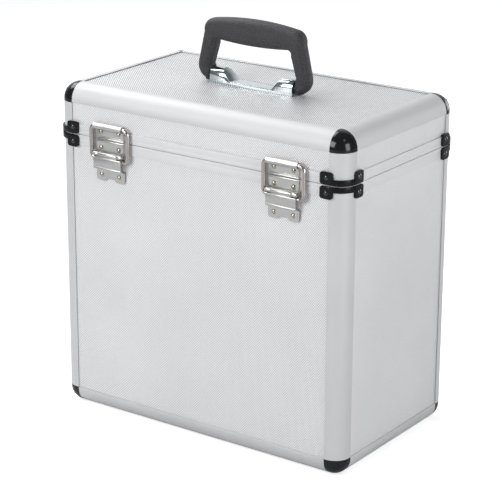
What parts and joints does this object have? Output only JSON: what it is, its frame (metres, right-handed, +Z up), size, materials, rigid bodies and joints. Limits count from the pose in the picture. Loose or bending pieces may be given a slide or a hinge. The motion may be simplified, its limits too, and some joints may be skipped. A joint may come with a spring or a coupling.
{
  "type": "record carrying case",
  "caption": "Upright hard carrying case for records: framed board panels, rounded metal edges, a hinged lid, draw latches and a folding handle.",
  "frame": {"origin": "middle of the underside, at the height that the case rests on", "axes": "+Z up, -Y towards the latches on the front, +X to the right seen from the front"},
  "size_m": [0.3562, 0.2168, 0.4188],
  "materials": {
    "panel_laminate": "silver embossed laminate on board",
    "anodised_edge": "satin anodised",
    "gloss_black": "gloss black",
    "clamp_black": "gloss black enamel",
    "nickel_plate": "nickel plated",
    "zinc_plate": "bright zinc plated",
    "grip_plastic": "fine grained matte",
    "lining_foam": "soft foam lining"
  },
  "bodies": {
    "case_body": {"bottom_panel": "panel_laminate", "body_front_panel": "panel_laminate", "body_back_panel": "panel_laminate", "body_left_panel": "panel_laminate", "body_right_panel": "panel_laminate", "bottom_front_edge": "anodised_edge", "bottom_back_edge": "anodised_edge", "bottom_left_edge": "anodised_edge", "bottom_right_edge": "anodised_edge", "body_post_front_left": "anodised_edge", "body_post_front_right": "anodised_edge", "body_post_back_left": "anodised_edge", "body_post_back_right": "anodised_edge", "body_rim_front": "anodised_edge", "body_rim_back": "anodised_edge", "body_rim_left": "anodised_edge", "body_rim_right": "anodised_edge", "body_ball_corners": "gloss_black", "body_corner_clamps": "clamp_black", "body_clamp_rivets": "clamp_black", "body_rivets": "nickel_plate", "body_lining": "lining_foam", "left_latch_base": "nickel_plate", "right_latch_base": "nickel_plate", "lever_pins": "nickel_plate", "body_hinge_leaves": "nickel_plate", "hinge_pins": "nickel_plate"},
    "lid": {"lid_top_panel": "panel_laminate", "lid_front_panel": "panel_laminate", "lid_back_panel": "panel_laminate", "lid_left_panel": "panel_laminate", "lid_right_panel": "panel_laminate", "top_front_edge": "anodised_edge", "top_back_edge": "anodised_edge", "top_left_edge": "anodised_edge", "top_right_edge": "anodised_edge", "lid_post_front_left": "anodised_edge", "lid_post_front_right": "anodised_edge", "lid_post_back_left": "anodised_edge", "lid_post_back_right": "anodised_edge", "lid_rim_front": "anodised_edge", "lid_rim_back": "anodised_edge", "lid_rim_left": "anodised_edge", "lid_rim_right": "anodised_edge", "lid_ball_corners": "gloss_black", "lid_corner_clamps": "clamp_black", "lid_clamp_rivets": "clamp_black", "lid_rivets": "nickel_plate", "lid_lining": "lining_foam", "left_strike_plate": "nickel_plate", "right_strike_plate": "nickel_plate", "lid_hinge_leaves": "nickel_plate", "handle_bracket": "zinc_plate", "bracket_screws": "zinc_plate"},
    "handle": {"handle_grip": "grip_plastic", "handle_pivots": "zinc_plate"},
    "left_bail": {"left_bail": "nickel_plate"},
    "right_bail": {"right_bail": "nickel_plate"},
    "left_lever": {"left_lever": "nickel_plate"},
    "right_lever": {"right_lever": "nickel_plate"}
  },
  "joints": [
    {"name": "lid_hinge", "type": "hinge", "parent": "case_body", "child": "lid", "pos_m": [0, 0.10495, 0.299], "axis": [-1, 0, 0], "range_deg": [0, 105]},
    {"name": "left_lever_pivot", "type": "hinge", "parent": "case_body", "child": "left_lever", "pos_m": [-0.106, -0.1063, 0.2847], "axis": [-1, 0, 0], "range_deg": [0, 150]},
    {"name": "right_lever_pivot", "type": "hinge", "parent": "case_body", "child": "right_lever", "pos_m": [0.106, -0.1063, 0.2847], "axis": [-1, 0, 0], "range_deg": [0, 150]},
    {"name": "left_bail_swing", "type": "hinge", "parent": "lid", "child": "left_bail", "pos_m": [-0.106, -0.10495, 0.3132], "axis": [-1, 0, 0], "range_deg": [0, 110]},
    {"name": "right_bail_swing", "type": "hinge", "parent": "lid", "child": "right_bail", "pos_m": [0.106, -0.10495, 0.3132], "axis": [-1, 0, 0], "range_deg": [0, 110]},
    {"name": "handle_fold", "type": "hinge", "parent": "lid", "child": "handle", "pos_m": [0, 0, 0.3568], "axis": [1, 0, 0], "range_deg": [-80, 80]}
  ]
}
